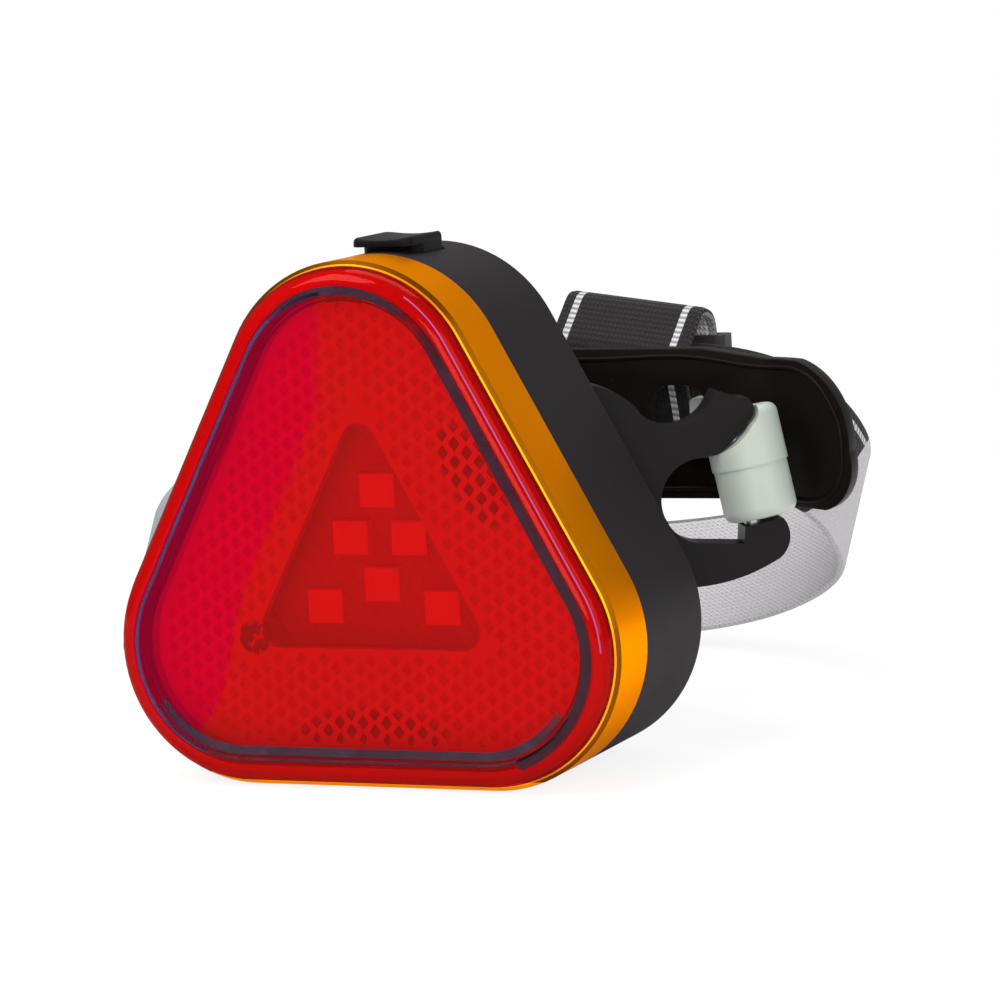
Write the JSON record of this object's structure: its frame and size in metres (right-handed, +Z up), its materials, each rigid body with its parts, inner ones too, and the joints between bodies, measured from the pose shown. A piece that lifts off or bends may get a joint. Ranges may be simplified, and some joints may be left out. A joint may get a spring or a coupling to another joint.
{
  "type": "bike tail light",
  "caption": "Triangular red tail light with an amber trim ring and a top button, clamped to a seat post by a stretch band hooked on a nylon link, with an elastic strap loop.",
  "frame": {"origin": "middle of the flat underside of the housing, at the lamp's centre line, on the plane y = 0 between lens and back cover", "axes": "+X to the right when the lens is looked at, +Y from the lens to the back where the band and strap are, +Z up along the seat post"},
  "size_m": [0.118, 0.1183, 0.0688],
  "materials": {
    "red_lens": "clear red moulding with a glossy face",
    "seal_rubber": "soft black seal",
    "amber_trim": "satin amber metallic paint",
    "prism_plastic": "clear red moulding with small prism cells",
    "board_laminate": "pale solder mask",
    "led_resin": "clear resin over a pale package",
    "chip_resin": "matt moulded chips",
    "screw_steel": "plain zinc plate",
    "switch_case": "matt moulding",
    "switch_stem": "matt moulding",
    "button_rubber": "smooth soft rubber",
    "housing_plastic": "finely textured moulding",
    "tray_plastic": "plain moulding",
    "cell_sleeve": "plain printed sleeve, no text",
    "contact_steel": "nickel plate",
    "wire_red": "smooth sleeving",
    "wire_black": "smooth sleeving",
    "bracket_plastic": "tough black moulding with a soft sheen",
    "pad_rubber": "soft black pad",
    "band_rubber": "brownish black stretch rubber with a glossy rim",
    "pin_steel": "plain ground pin",
    "nylon": "off-white nylon",
    "woven_elastic": "black weave with two pale grey stripes outside, pale grey inside",
    "slider_plastic": "plain moulding"
  },
  "bodies": {
    "light": {"lens_cover": "red_lens", "lens_seal": "seal_rubber", "accent_ring": "amber_trim", "prism_panel": "prism_plastic", "led_board": "board_laminate", "leds": "led_resin", "board_components": "chip_resin", "board_screws": "screw_steel", "switch_body": "switch_case", "housing_shell": "housing_plastic", "battery_tray": "tray_plastic", "battery_cell_lower": "cell_sleeve", "battery_cell_upper": "cell_sleeve", "spring_contacts": "contact_steel", "plate_contacts": "contact_steel", "wire_red": "wire_red", "wire_black": "wire_black", "rear_cover": "housing_plastic", "cover_seal": "seal_rubber", "cover_screws": "screw_steel", "rear_bracket": "bracket_plastic", "bracket_screws": "screw_steel", "tube_pad": "pad_rubber", "rubber_band": "band_rubber", "band_pin": "pin_steel", "hook_pin": "pin_steel", "elastic_strap": "woven_elastic", "strap_tail": "woven_elastic"},
    "button": {"button_cap": "button_rubber"},
    "plunger": {"switch_plunger": "switch_stem"},
    "link": {"hook_link": "nylon"},
    "slider": {"strap_slider": "slider_plastic"}
  },
  "joints": [
    {"name": "button_press", "type": "slide", "parent": "light", "child": "button", "axis": [0, 0, -1], "range_m": [0, 0.0006], "stiffness_N_per_m": 2500},
    {"name": "switch_travel", "type": "slide", "parent": "light", "child": "plunger", "axis": [0, 0, -1], "range_m": [0, 0.0003]},
    {"name": "link_pivot", "type": "hinge", "parent": "light", "child": "link", "pos_m": [0.03659, 0.03173, 0.0222], "axis": [-0.1369, -0.0855, 0.9869], "range_deg": [-4, 3]},
    {"name": "slider_slide", "type": "slide", "parent": "light", "child": "slider", "axis": [0, 0, 1], "range_m": [-0.004, 0.001]}
  ],
  "couplings": [
    {"joint": "switch_travel", "follows": "button_press", "ratio": 0.5}
  ]
}
